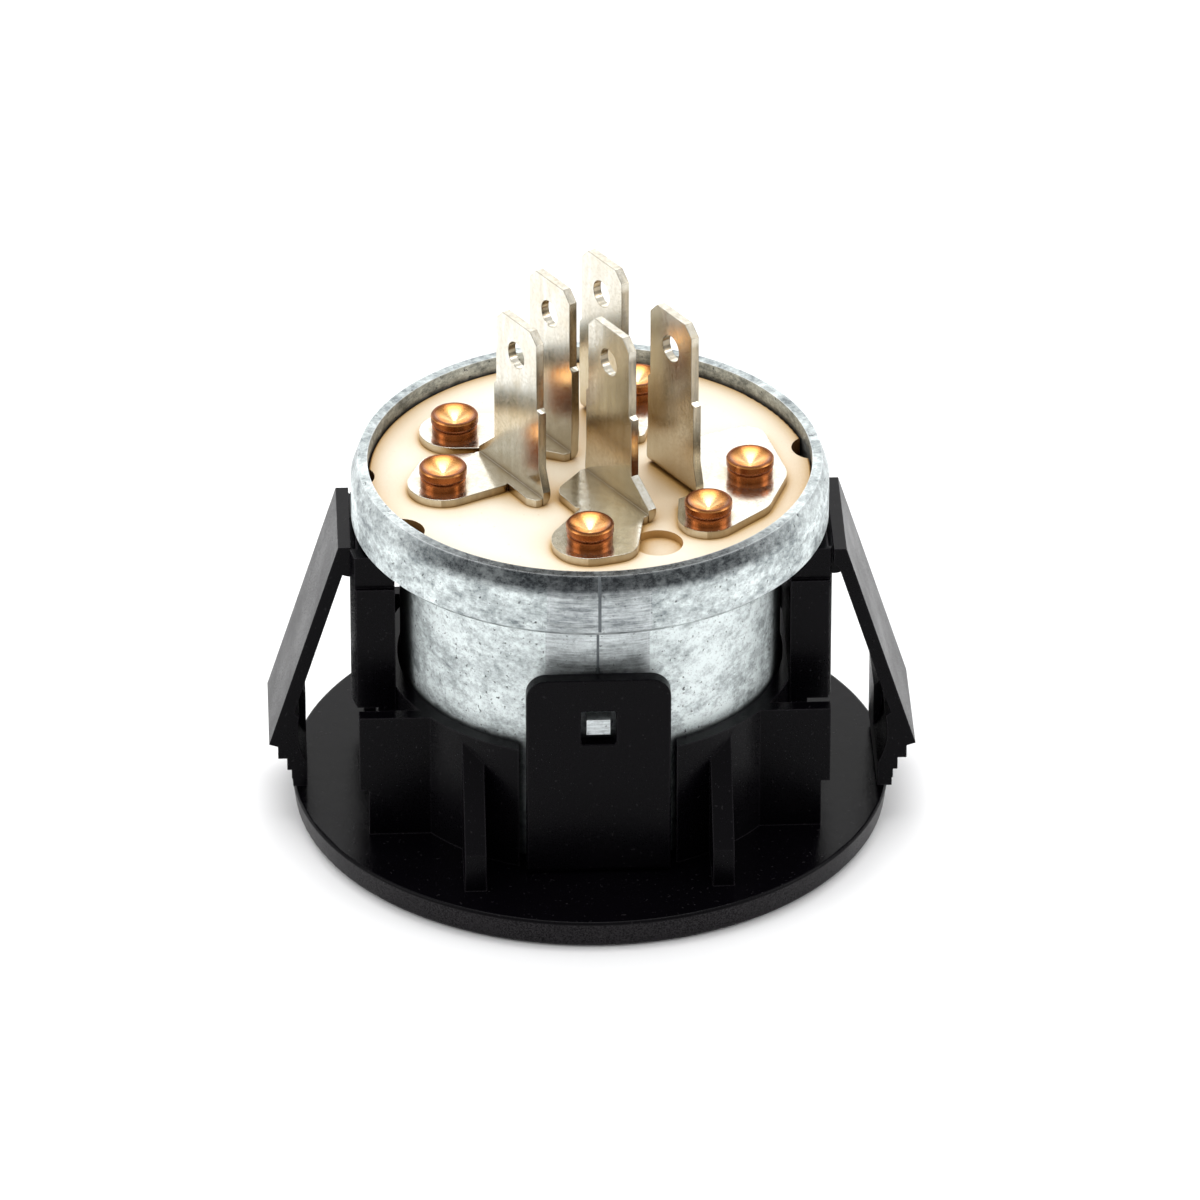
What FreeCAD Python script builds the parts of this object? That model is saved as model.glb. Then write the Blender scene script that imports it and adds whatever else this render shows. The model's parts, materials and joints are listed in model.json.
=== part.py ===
import FreeCAD, Part
import itertools
import math
import os
from FreeCAD import Vector

os.makedirs("parts", exist_ok=True)

# A snap-in rotary key switch, standing on the face of its round bezel.
# +Z runs from the bezel face to the blade terminals, X runs through the two snap arms,
# and the origin is the centre of the bezel face. All sizes are in millimetres.

# Bezel moulding
FLANGE_RADIUS = 27.0
FLANGE_FACE_RADIUS = 26.6
FLANGE_THICKNESS = 2.8
FACE_DISH_RADIUS = 15.0
FACE_DISH_DEPTH = 0.5
NOSE_HOLE_RADIUS = 10.1
COLLAR_RADIUS = 18.6
COLLAR_BORE_RADIUS = 17.3
COLLAR_TOP = 14.9
SIDE_WALL_FACE = 11.4
SIDE_WALL_THICKNESS = 1.3
SIDE_WALL_END = 21.0
SIDE_WALL_STEP = 0.8
SIDE_WALL_STEP_TOP = 7.4
POST_INNER = 17.6
POST_RADIUS = 22.0
POST_HALF_WIDTH = 6.4
POST_TOP = 28.3
POST_SHOULDER = 25.2
POST_SHOULDER_STEP = 0.4
POST_RELIEF_TOP = 13.0
POST_RELIEF_FACE = 19.2
POST_ARM_FACE = 21.35
RIB_CENTRE = 11.0
RIB_THICKNESS = 1.9
RIB_FACE = 21.3
RIB_FACE_TOP = 6.5
RIB_APEX = 13.4
RIB_ROOT = 14.9

# Snap arms, which hang from the post tops
ARM_HINGE_X = 21.5
ARM_HINGE_Z = 26.85
ARM_ROOT_RADIUS = 1.45
ARM_ROOT_CLEARANCE = 0.08
ARM_ROOT_END = 5.5
ARM_TOP_INNER = 21.42
ARM_TOP_OUTER = 23.05
ARM_TOP = 28.4
ARM_THICKNESS = 1.2
ARM_TIP_X = 29.0
ARM_TIP_Z = 8.0
ARM_TOOTH_STEPS = [(28.2, 6.5), (27.4, 5.3), (27.0, 4.4)]
ARM_TAIL_OUTER = 26.9
ARM_TAIL_INNER = 25.6
ARM_TAIL_BOTTOM = 3.6
ARM_SPINE_TOP = 11.3
ARM_SPAN_RIGHT = (-6.35, 6.35)
ARM_SPAN_LEFT = (-4.3, 6.35)
SCOOP_RADIUS = 7.1
SCOOP_DEPTH = 0.8
SCOOP_Z = 9.3

# Latch tabs, which rise from the flange in front and behind
TAB_FACE = 18.9
TAB_THICKNESS = 1.4
TAB_WIDTH = 12.8
TAB_TOP = 22.9
TAB_CORNER_RADIUS = 1.8
TAB_ROOT_GAP = 0.1
TAB_SLOT_WIDTH = 14.0
WINDOW_WIDTH = 3.1
WINDOW_LOW = 16.3
WINDOW_HIGH = 19.7

# Die-cast switch housing
HOUSING_RADIUS = 17.05
BAND_RADIUS = 21.3
BAND_LOW = 28.8
BAND_HIGH = 33.0
LIP_RADIUS = 20.7
LIP_TOP = 34.7
LIP_BORE_RADIUS = 19.8
NOSE_RADIUS = 10.0
NOSE_FACE = 0.25
CHAMBER_RADIUS = 15.4
CHAMBER_FLOOR = 5.5
CONTACT_RECESS_RADIUS = 16.75
CONTACT_RECESS_LOW = 29.1
BARREL_RADIUS = 9.8
BARREL_TOP = 17.5
PLUG_BORE_RADIUS = 7.05
COUNTERBORE_RADIUS = 8.1
COUNTERBORE_TOP = 2.1
LUG_WIDTH = 2.1
LUG_LOW = 17.0
LUG_HIGH = 19.2
LUG_FACE = 18.3

# Terminal plate
PLATE_RADIUS = 19.7
PLATE_LOW = 30.2
PLATE_TOP = 33.2
NOTCH_RADIUS = 2.1
NOTCHES = [(9.8, 20.55), (180.0, 21.25), (209.5, 19.6)]
POCKET_ANGLE = -66.5
POCKET_DISTANCE = 13.8
POCKET_RADIUS = 2.2
POCKET_DEPTH = 0.75

# Blade terminals, all parallel; places are (along, across) in the blades' own directions
BLADE_DIRECTION = -58.0
STOCK = 0.8
BLADE_WIDTH = 6.35
BLADE_TIP = 50.0
BLADE_SHOULDER = 42.2
SHOULDER_STEP = 0.35
TIP_CHAMFER = 1.0
BLADE_HOLE_RADIUS = 1.25
BLADE_HOLE_DROP = 3.4
BEND_RADIUS = 0.9
FOLD_RELIEF = 0.3
SMALLEST_OVERRUN = 2.0
FLARE_HEIGHT = 2.6
CORNER_RADIUS = 0.6

# Rivets
RIVET_HEAD_RADIUS = 2.125
RIVET_SHANK_RADIUS = 1.5
RIVET_HEAD_HEIGHT = 1.7
RIVET_CONE_DEPTH = 0.85
CONTACT_HEAD_RADIUS = 2.2
CONTACT_HEAD_LOW = 29.25

# Lock plug and what it carries
PLUG_RADIUS = 7.0
PLUG_FLANGE_RADIUS = 8.0
PLUG_FACE = 0.85
PLUG_TAIL = 19.2
TANG_LENGTH = 9.0
TANG_WIDTH = 4.0
TANG_TOP = 22.0
KEYWAY_LENGTH = 8.4
KEYWAY_WIDTH = 2.2
KEYWAY_END = 17.0
SEAL_Z = 3.55
SEAL_WIRE_RADIUS = 0.5
CLIP_LOW = 17.75
CLIP_THICKNESS = 0.7
CLIP_RADIUS = 8.3
CAP_RADIUS = 7.9
CAP_FACE = 0.3
SHUTTER_PIN_Y = 2.0
SHUTTER_PIN_Z = 1.75
SHUTTER_PIN_RADIUS = 0.38
WAFER_COUNT = 4
WAFER_PITCH = 2.6
FIRST_WAFER = 6.0
WAFER_THICKNESS = 1.0
WAFER_GAP = 0.05
WAFER_HALF_WIDTH = 4.0
WAFER_LOW_X = -5.65
WAFER_HIGH_X = 5.0
WAFER_NOTCH_X = 1.2
WAFER_NOTCH_Y = 2.0
WAFER_SPRING_Y = 3.0

# Contact chamber
ROTOR_RADIUS = 14.9
ROTOR_LOW = 19.7
ROTOR_TOP = 26.4
SPRING_WELL_RADIUS = 5.7
SPRING_WELL_FLOOR = 24.4
POST_CIRCLE = 9.5
DRIVE_POST_RADIUS = 1.2
DRIVE_POST_TOP = 28.95
DRIVE_POST_ANGLES = [51.0, 171.0, 291.0]
BRIDGE_LOW = 28.0
BRIDGE_THICKNESS = 1.0
BRIDGE_ARM_ANGLES = [111.0, 231.0, 351.0]
BRIDGE_HUB_RADIUS = 11.2
CONTACT_CIRCLE = 13.7
BALL_RADIUS = 1.6
BALL_CIRCLE = 13.75
BALL_TRAVEL = 0.55
BALL_Z = 23.0
BALL_ANGLES = [90.0, 270.0]
KEY_POSITIONS = [0.0, 40.0, 80.0]
RETURN_SPRING_RADIUS = 11.4


def polar(radius, angle):
    turn = math.radians(angle)
    return radius * math.cos(turn), radius * math.sin(turn)


def cylinder(radius, low, high, x=0.0, y=0.0):
    return Part.makeCylinder(radius, high - low, Vector(x, y, low))


def ring(outer, inner, low, high):
    return cylinder(outer, low, high).cut(cylinder(inner, low, high))


def block(x_range, y_range, z_range):
    corner = Vector(min(x_range), min(y_range), min(z_range))
    sizes = [max(span) - min(span) for span in (x_range, y_range, z_range)]
    return Part.makeBox(sizes[0], sizes[1], sizes[2], corner)


def lathe(outline, x=0.0, y=0.0):
    """Turn an outline of (radius, height) points about the vertical line through x, y."""
    points = [Vector(radius, 0, height) for radius, height in outline]
    face = Part.Face(Part.makePolygon(points + [points[0]]))
    solid = face.revolve(Vector(0, 0, 0), Vector(0, 0, 1), 360)
    solid.translate(Vector(x, y, 0))
    return solid


def side_prism(outline, y_range):
    """Extrude an outline of (x, z) points along Y."""
    points = [Vector(x, y_range[0], z) for x, z in outline]
    face = Part.Face(Part.makePolygon(points + [points[0]]))
    return face.extrude(Vector(0, y_range[1] - y_range[0], 0))


def merge(shapes):
    return shapes[0].fuse(shapes[1:]).removeSplitter()


def mirrored(shape, normal):
    return shape.mirror(Vector(0, 0, 0), normal)


def turned(shape, angle):
    copy = shape.copy()
    copy.rotate(Vector(0, 0, 0), Vector(0, 0, 1), angle)
    return copy


def round_circle(shape, radius, circle_radius, height):
    """Round the circular edge of a given radius at a given height."""
    chosen = []
    for edge in shape.Edges:
        circle = edge.Curve
        if not isinstance(circle, Part.Circle):
            continue
        if abs(circle.Radius - circle_radius) < 0.01 and abs(circle.Center.z - height) < 0.01:
            chosen.append(edge)
    return shape.makeFillet(radius, chosen)


def coil(mean_radius, wire_radius, start, axis, length, turns):
    """A coil spring whose first turn starts at start and which runs along axis."""
    helix = Part.makeLongHelix(length / turns, length, mean_radius)
    profile = Part.Wire(Part.makeCircle(wire_radius, Vector(mean_radius, 0, 0), Vector(0, 1, 0)))
    spring = Part.Wire(helix).makePipeShell([profile], True, True)
    spring.Placement = FreeCAD.Placement(start, FreeCAD.Rotation(Vector(0, 0, 1), axis))
    return spring


def save(shape, name):
    solids = shape.Solids
    if len(solids) != 1 or not solids[0].isValid():
        raise ValueError("%s has %d solids" % (name, len(solids)))
    solids[0].exportStep("parts/%s.step" % name)


# Bezel ---------------------------------------------------------------------------------------

def make_flange():
    disc = Part.makeCone(FLANGE_FACE_RADIUS, FLANGE_RADIUS, FLANGE_THICKNESS)
    disc = round_circle(disc, 0.7, FLANGE_FACE_RADIUS, 0.0)
    disc = round_circle(disc, 0.25, FLANGE_RADIUS, FLANGE_THICKNESS)
    return disc


def make_side_wall():
    """One wall beside an arm, at positive X and Y."""
    y_range = (SIDE_WALL_FACE - SIDE_WALL_THICKNESS, SIDE_WALL_FACE)
    upper = block((13.0, SIDE_WALL_END), y_range, (SIDE_WALL_STEP_TOP, COLLAR_TOP))
    lower = block((13.0, SIDE_WALL_END - SIDE_WALL_STEP), y_range, (2.0, SIDE_WALL_STEP_TOP))
    return merge([upper, lower])


def make_rib():
    """One gusset beside a latch tab, at positive X and Y."""
    low_x = RIB_CENTRE - RIB_THICKNESS / 2
    slope = (RIB_APEX - RIB_FACE_TOP) / (RIB_FACE - RIB_ROOT)
    inner = RIB_ROOT - 1.0
    outline = [(inner, 2.0), (RIB_FACE, 2.0), (RIB_FACE, RIB_FACE_TOP), (inner, RIB_APEX + slope)]
    points = [Vector(low_x, y, z) for y, z in outline]
    face = Part.Face(Part.makePolygon(points + [points[0]]))
    return face.extrude(Vector(RIB_THICKNESS, 0, 0))


def make_arm_root(arm_span, clearance):
    """The round root that an arm turns on, or with a clearance the seat for it."""
    low_y = max(arm_span[0], -ARM_ROOT_END) - clearance
    high_y = min(arm_span[1], ARM_ROOT_END) + clearance
    start = Vector(ARM_HINGE_X, low_y, ARM_HINGE_Z)
    return Part.makeCylinder(ARM_ROOT_RADIUS + clearance, high_y - low_y, start, Vector(0, 1, 0))


def make_post(arm_span):
    """The post at positive X, with the seat for an arm's root."""
    lower = block((POST_INNER, 23.0), (-POST_HALF_WIDTH, POST_HALF_WIDTH), (2.0, POST_SHOULDER))
    narrow = POST_HALF_WIDTH - POST_SHOULDER_STEP
    upper = block((POST_INNER, 23.0), (-narrow, narrow), (POST_SHOULDER, POST_TOP))
    post = merge([lower, upper]).common(cylinder(POST_RADIUS, 0.0, 40.0))
    tail_room = block((POST_RELIEF_FACE, 23.0), (-8.0, 8.0), (FLANGE_THICKNESS, POST_RELIEF_TOP))
    end_y = arm_span[0] - ARM_ROOT_CLEARANCE
    arm_room = block((POST_ARM_FACE, 23.0), (end_y, 8.0), (POST_RELIEF_TOP, POST_TOP + 1))
    seat = make_arm_root(arm_span, ARM_ROOT_CLEARANCE)
    return post.cut(tail_room).cut(arm_room).cut(seat)


def make_bezel():
    collar = ring(COLLAR_RADIUS, COLLAR_BORE_RADIUS, 2.0, COLLAR_TOP)
    half_slot = TAB_SLOT_WIDTH / 2
    tab_slots = block((-half_slot, half_slot), (-25.0, 25.0), (FLANGE_THICKNESS, 40.0))
    pieces = [make_flange(), collar.cut(tab_slots)]
    for flip_x in (False, True):
        for flip_y in (False, True):
            for piece in (make_side_wall(), make_rib()):
                if flip_x:
                    piece = mirrored(piece, Vector(1, 0, 0))
                if flip_y:
                    piece = mirrored(piece, Vector(0, 1, 0))
                pieces.append(piece)
    pieces.append(make_post(ARM_SPAN_RIGHT))
    pieces.append(mirrored(make_post(ARM_SPAN_LEFT), Vector(1, 0, 0)))
    bezel = merge(pieces)
    bezel = bezel.cut(cylinder(COLLAR_BORE_RADIUS, FLANGE_THICKNESS, 40.0))
    bezel = bezel.cut(cylinder(NOSE_HOLE_RADIUS, -1.0, 4.0))
    return bezel.cut(cylinder(FACE_DISH_RADIUS, -1.0, FACE_DISH_DEPTH))


def make_snap_arm(span):
    """A snap arm on the positive X side, over the given range of Y."""
    run = Vector(ARM_TIP_X - ARM_TOP_OUTER, 0, ARM_TIP_Z - ARM_HINGE_Z)
    inward = Vector(run.z, 0, -run.x).normalize() * ARM_THICKNESS
    top = (ARM_TOP_OUTER, ARM_HINGE_Z)
    top_inner = (top[0] + inward.x, top[1] + inward.z)
    blade = [top, (ARM_TIP_X, ARM_TIP_Z), (ARM_TIP_X + inward.x, ARM_TIP_Z + inward.z), top_inner]
    teeth = [(ARM_TIP_X, ARM_TIP_Z)]
    for x, z in ARM_TOOTH_STEPS:
        teeth += [(x, teeth[-1][1]), (x, z)]
    teeth.append((ARM_TAIL_OUTER, teeth[-1][1]))
    slope = run.x / -run.z
    spine_x = ARM_TIP_X + inward.x - (ARM_SPINE_TOP - ARM_TIP_Z - inward.z) * slope
    tail = teeth + [(ARM_TAIL_OUTER, ARM_TAIL_BOTTOM), (ARM_TAIL_INNER, ARM_TAIL_BOTTOM)]
    tail += [(ARM_TAIL_INNER, ARM_SPINE_TOP - 1.1), (spine_x, ARM_SPINE_TOP)]
    tail.append((spine_x + ARM_THICKNESS / 2, ARM_SPINE_TOP))
    crest_outer = ARM_TOP_OUTER - slope * (ARM_TOP - ARM_HINGE_Z)
    crest = [(ARM_TOP_INNER, ARM_HINGE_Z), (ARM_TOP_INNER, ARM_TOP), (crest_outer, ARM_TOP), top, top_inner]
    pieces = [make_arm_root(span, 0.0)]
    pieces += [side_prism(outline, span) for outline in (crest, blade, tail)]
    arm = merge(pieces)
    scoop_start = Vector(ARM_TAIL_INNER + SCOOP_DEPTH - SCOOP_RADIUS, span[0] - 1.0, SCOOP_Z)
    middle = (span[0] + span[1]) / 2
    scoop = Part.makeCylinder(SCOOP_RADIUS, middle - span[0] + 1.0, scoop_start, Vector(0, 1, 0))
    return arm.cut(scoop)


def make_latch_tab():
    """The latch tab on the negative Y side, with its window."""
    root_z = FLANGE_THICKNESS + TAB_ROOT_GAP + TAB_THICKNESS / 2
    half = TAB_WIDTH / 2
    inner = TAB_FACE - TAB_THICKNESS
    slab = block((-half, half), (-TAB_FACE, -inner), (root_z, TAB_TOP))
    corners = []
    for edge in slab.Edges:
        box = edge.BoundBox
        if box.ZMin > TAB_TOP - 0.01 and box.YLength > TAB_THICKNESS / 2:
            corners.append(edge)
    slab = slab.makeFillet(TAB_CORNER_RADIUS, corners)
    root_start = Vector(-half, -TAB_FACE + TAB_THICKNESS / 2, root_z)
    root = Part.makeCylinder(TAB_THICKNESS / 2, TAB_WIDTH, root_start, Vector(1, 0, 0))
    half_window = WINDOW_WIDTH / 2
    window = block((-half_window, half_window), (-TAB_FACE - 1, -inner + 1), (WINDOW_LOW, WINDOW_HIGH))
    return merge([slab, root]).cut(window)


# Housing and terminal plate ------------------------------------------------------------------

def make_lug():
    """The catch that a latch tab's window drops over, on the negative Y side."""
    root = -HOUSING_RADIUS + 0.6
    outline = [(root, LUG_LOW), (-LUG_FACE, LUG_LOW), (-LUG_FACE, LUG_HIGH - 0.7), (root, LUG_HIGH)]
    points = [Vector(-LUG_WIDTH / 2, y, z) for y, z in outline]
    face = Part.Face(Part.makePolygon(points + [points[0]]))
    return face.extrude(Vector(LUG_WIDTH, 0, 0))


def make_housing():
    outline = [
        (PLUG_BORE_RADIUS, COUNTERBORE_TOP), (COUNTERBORE_RADIUS, COUNTERBORE_TOP),
        (COUNTERBORE_RADIUS, NOSE_FACE), (NOSE_RADIUS - 0.3, NOSE_FACE),
        (NOSE_RADIUS, NOSE_FACE + 0.3), (NOSE_RADIUS, FLANGE_THICKNESS),
        (HOUSING_RADIUS - 0.4, FLANGE_THICKNESS), (HOUSING_RADIUS, FLANGE_THICKNESS + 0.4),
        (HOUSING_RADIUS, BAND_LOW), (BAND_RADIUS - 0.5, BAND_LOW), (BAND_RADIUS, BAND_LOW + 0.5),
        (BAND_RADIUS, BAND_HIGH), (LIP_RADIUS, LIP_TOP), (LIP_BORE_RADIUS, LIP_TOP),
        (LIP_BORE_RADIUS, PLATE_LOW), (CONTACT_RECESS_RADIUS, PLATE_LOW),
        (CONTACT_RECESS_RADIUS, CONTACT_RECESS_LOW), (CHAMBER_RADIUS, CONTACT_RECESS_LOW),
        (CHAMBER_RADIUS, CHAMBER_FLOOR), (BARREL_RADIUS, CHAMBER_FLOOR),
        (BARREL_RADIUS, BARREL_TOP), (PLUG_BORE_RADIUS, BARREL_TOP),
    ]
    housing = merge([lathe(outline), make_lug(), mirrored(make_lug(), Vector(0, 1, 0))])
    groove_top = FIRST_WAFER + WAFER_PITCH * WAFER_COUNT - 1.0
    half_groove = WAFER_HALF_WIDTH + 0.15
    groove = block((-7.9, 0.0), (-half_groove, half_groove), (FIRST_WAFER - 0.1, groove_top))
    housing = housing.cut(groove)
    for ball_angle in BALL_ANGLES:
        for position in KEY_POSITIONS:
            x, y = polar(BALL_CIRCLE + BALL_TRAVEL, ball_angle + position)
            housing = housing.cut(Part.makeSphere(BALL_RADIUS + 0.08, Vector(x, y, BALL_Z)))
    return housing


def make_terminal_plate(rivet_places):
    plate = cylinder(PLATE_RADIUS, PLATE_LOW, PLATE_TOP)
    plate = round_circle(plate, 0.2, PLATE_RADIUS, PLATE_TOP)
    for angle, distance in NOTCHES:
        x, y = polar(distance, angle)
        plate = plate.cut(cylinder(NOTCH_RADIUS, PLATE_LOW - 1, PLATE_TOP + 1, x, y))
    x, y = polar(POCKET_DISTANCE, POCKET_ANGLE)
    plate = plate.cut(cylinder(POCKET_RADIUS, PLATE_TOP - POCKET_DEPTH, PLATE_TOP + 1, x, y))
    for x, y in rivet_places:
        plate = plate.cut(cylinder(RIVET_SHANK_RADIUS, PLATE_LOW - 1, PLATE_TOP + 1, x, y))
    return plate


# Terminals and rivets ------------------------------------------------------------------------

# Each terminal, in places given along and across the blades' own directions: the middle of its
# blade, the side that its foot lies on, the ends of its fold, and its rivets, each as the angle
# and distance from the axis and the radius of the lobe round it. The strip corners widen the foot
# beside the fold and the neck corners join it to the lobes: (along, across, corner radius).
TERMINALS = {
    "blade_terminal_1": {
        "middle": (-1.5, 6.85), "foot_side": 1, "fold": (-7.5, 2.7), "rivets": [(191.4, 13.4, 3.2)],
        "strip": [(1.6, 7.3, 0.7)],
        "neck": [(-7.2, 11.2, 2.0), (-6.8, 7.5, 0.6), (-1.9, 8.4, 0.7)],
    },
    "blade_terminal_2": {
        "middle": (4.1, 0.8), "foot_side": 1, "fold": (0.4, 10.4), "rivets": [(-92.3, 13.1, 3.4)],
        "strip": [(3.3, 3.4, 1.8), (5.3, 4.4, 0.9)],
        "neck": [(9.6, 1.6, 0.7), (12.5, 6.0, 2.2), (6.6, 4.4, 0.9)],
    },
    "blade_terminal_3": {
        "middle": (-6.0, 0.25), "foot_side": 1, "fold": (-11.3, -2.6), "rivets": [(151.2, 13.5, 3.2)],
        "strip": [(-6.0, 2.4, 0.7)],
        "neck": [(-9.1, 6.3, 0.6), (-10.7, 1.0, 0.6), (-6.0, 2.4, 0.7)],
    },
    "blade_terminal_4": {
        "middle": (-6.35, -5.6), "foot_side": -1, "fold": (-9.8, -1.5), "rivets": [(69.5, 13.7, 3.2)],
        "strip": [(-3.2, -7.6, 0.8)],
        "neck": [(-9.0, -6.8, 0.6), (-3.6, -8.0, 0.8)],
    },
    "blade_terminal_5": {
        "middle": (5.2, -5.1), "foot_side": -1, "fold": (1.5, 9.2),
        "rivets": [(-43.6, 13.9, 2.7), (-8.5, 14.3, 3.3)],
        "strip": [(3.0, -11.6, 1.5), (9.9, -4.2, 1.2)],
        "neck": [(3.8, -14.3, 1.8), (3.0, -11.6, 1.5), (9.9, -4.2, 1.2), (12.4, -7.6, 2.9)],
    },
}


def blade_frame(along, across, height=0.0):
    """A point given along and across the blade direction."""
    ux, uy = polar(1.0, BLADE_DIRECTION)
    return Vector(along * ux + across * uy, along * uy - across * ux, height)


def to_blade_frame(x, y):
    ux, uy = polar(1.0, BLADE_DIRECTION)
    return x * ux + y * uy, x * uy - y * ux


def hull_link(first, second, low, high):
    """The plate between two round corners, each (x, y, radius), bounded by their tangents."""
    gap = Vector(second[0] - first[0], second[1] - first[1], 0)
    heading = math.atan2(gap.y, gap.x)
    lean = math.acos((first[2] - second[2]) / gap.Length)
    points = []
    for x, y, radius, side in (first + (1,), second + (1,), second + (-1,), first + (-1,)):
        turn = heading + side * lean
        points.append(Vector(x + radius * math.cos(turn), y + radius * math.sin(turn), low))
    face = Part.Face(Part.makePolygon(points + [points[0]]))
    return face.extrude(Vector(0, 0, high - low))


def make_plate(corners, low, high):
    """The convex plate round a group of round corners."""
    shapes = [cylinder(radius, low, high, x, y) for x, y, radius in corners]
    for first, second in itertools.combinations(corners, 2):
        shapes.append(hull_link(first, second, low, high))
    for group in itertools.combinations(corners, 3):
        points = [Vector(x, y, low) for x, y, radius in group]
        face = Part.Face(Part.makePolygon(points + [points[0]]))
        shapes.append(face.extrude(Vector(0, 0, high - low)))
    return merge(shapes)


def blade_corner(along, across, radius):
    place = blade_frame(along, across)
    return place.x, place.y, radius


def outer_side(start, outer, side):
    """All that lies past a place along the blade and on the outer side of its outer face."""
    corners = [(start, outer), (30, outer), (30, outer - side * 30), (start, outer - side * 30)]
    points = [blade_frame(along, across, PLATE_TOP - 1) for along, across in corners]
    return Part.Face(Part.makePolygon(points + [points[0]])).extrude(Vector(0, 0, 5))


def make_terminal(spec, rivet_places):
    along, front = spec["middle"]
    side = spec["foot_side"]
    fold_low, fold_high = spec["fold"]
    # the blade lies between its inner face, where the foot leaves it, and its outer face
    inner = front if side > 0 else front - STOCK
    outer = inner - side * STOCK
    foot_top = PLATE_TOP + STOCK
    half = BLADE_WIDTH / 2
    wide = half + SHOULDER_STEP
    outline = [
        (fold_low, PLATE_TOP), (fold_high, PLATE_TOP), (fold_high, foot_top + 0.5),
        (along + wide, foot_top + FLARE_HEIGHT), (along + wide, BLADE_SHOULDER),
        (along + half, BLADE_SHOULDER + SHOULDER_STEP), (along + half, BLADE_TIP - TIP_CHAMFER),
        (along + half - TIP_CHAMFER, BLADE_TIP), (along - half + TIP_CHAMFER, BLADE_TIP),
        (along - half, BLADE_TIP - TIP_CHAMFER), (along - half, BLADE_SHOULDER + SHOULDER_STEP),
        (along - wide, BLADE_SHOULDER), (along - wide, foot_top + FLARE_HEIGHT),
        (fold_low, foot_top + 0.5),
    ]
    points = [blade_frame(step, inner, height) for step, height in outline]
    face = Part.Face(Part.makePolygon(points + [points[0]]))
    blade = face.extrude(blade_frame(0, outer) - blade_frame(0, inner))
    near_fold = inner + side * CORNER_RADIUS / 2
    strip = [blade_corner(step, near_fold, CORNER_RADIUS)
             for step in (fold_low + CORNER_RADIUS, fold_high - CORNER_RADIUS)]
    strip += [blade_corner(*corner) for corner in spec["strip"]]
    neck = [blade_corner(*corner) for corner in spec["neck"]]
    neck += [polar(distance, angle) + (lobe,) for angle, distance, lobe in spec["rivets"]]
    foot = merge([make_plate(strip, PLATE_TOP, foot_top), make_plate(neck, PLATE_TOP, foot_top)])
    # beside the fold, the foot ends at the blade's outer face
    terminal = merge([blade, foot.cut(outer_side(-30, outer, side))])
    bend = []
    for edge in terminal.Edges:
        ends = [vertex.Point for vertex in edge.Vertexes]
        if len(ends) != 2 or edge.Length < 4.0:
            continue
        on_outer = [abs(to_blade_frame(point.x, point.y)[1] - outer) < 0.01 for point in ends]
        at_base = [abs(point.z - PLATE_TOP) < 0.01 for point in ends]
        if all(on_outer) and all(at_base):
            bend.append(edge)
    terminal = terminal.makeFillet(BEND_RADIUS, bend)
    # past the fold, it may run on under the blade's outer side
    past_fold = foot.common(outer_side(fold_high + FOLD_RELIEF, outer, side))
    if past_fold.Volume > SMALLEST_OVERRUN:
        overrun = foot.common(outer_side(fold_high + FOLD_RELIEF, inner + side * FOLD_RELIEF, side))
        terminal = merge([terminal, overrun])
    hole_start = blade_frame(along, inner + side * 2, BLADE_TIP - BLADE_HOLE_DROP)
    hole_axis = blade_frame(0, -side)
    terminal = terminal.cut(Part.makeCylinder(BLADE_HOLE_RADIUS, 5.0, hole_start, hole_axis))
    for x, y in rivet_places:
        terminal = terminal.cut(cylinder(RIVET_SHANK_RADIUS, PLATE_TOP - 1, foot_top + 1, x, y))
    return terminal


def make_rivet(x, y):
    seat = PLATE_TOP + STOCK
    top = seat + RIVET_HEAD_HEIGHT
    outline = [
        (0.0, CONTACT_HEAD_LOW), (CONTACT_HEAD_RADIUS - 0.2, CONTACT_HEAD_LOW),
        (CONTACT_HEAD_RADIUS, CONTACT_HEAD_LOW + 0.2), (CONTACT_HEAD_RADIUS, PLATE_LOW),
        (RIVET_SHANK_RADIUS, PLATE_LOW), (RIVET_SHANK_RADIUS, seat),
        (RIVET_HEAD_RADIUS - 0.1, seat), (RIVET_HEAD_RADIUS - 0.1, seat + 0.5),
        (RIVET_HEAD_RADIUS - 0.22, seat + 0.6), (RIVET_HEAD_RADIUS - 0.12, seat + 0.8),
        (RIVET_HEAD_RADIUS, seat + 1.0), (RIVET_HEAD_RADIUS, top - 0.15),
        (RIVET_HEAD_RADIUS - 0.12, top), (RIVET_HEAD_RADIUS - 0.3, top),
        (0.2, top - RIVET_CONE_DEPTH), (0.0, top - RIVET_CONE_DEPTH),
    ]
    return lathe(outline, x, y)


# Lock plug, wafers and shutter ---------------------------------------------------------------

def wafer_low(index):
    return FIRST_WAFER + index * WAFER_PITCH


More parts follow.
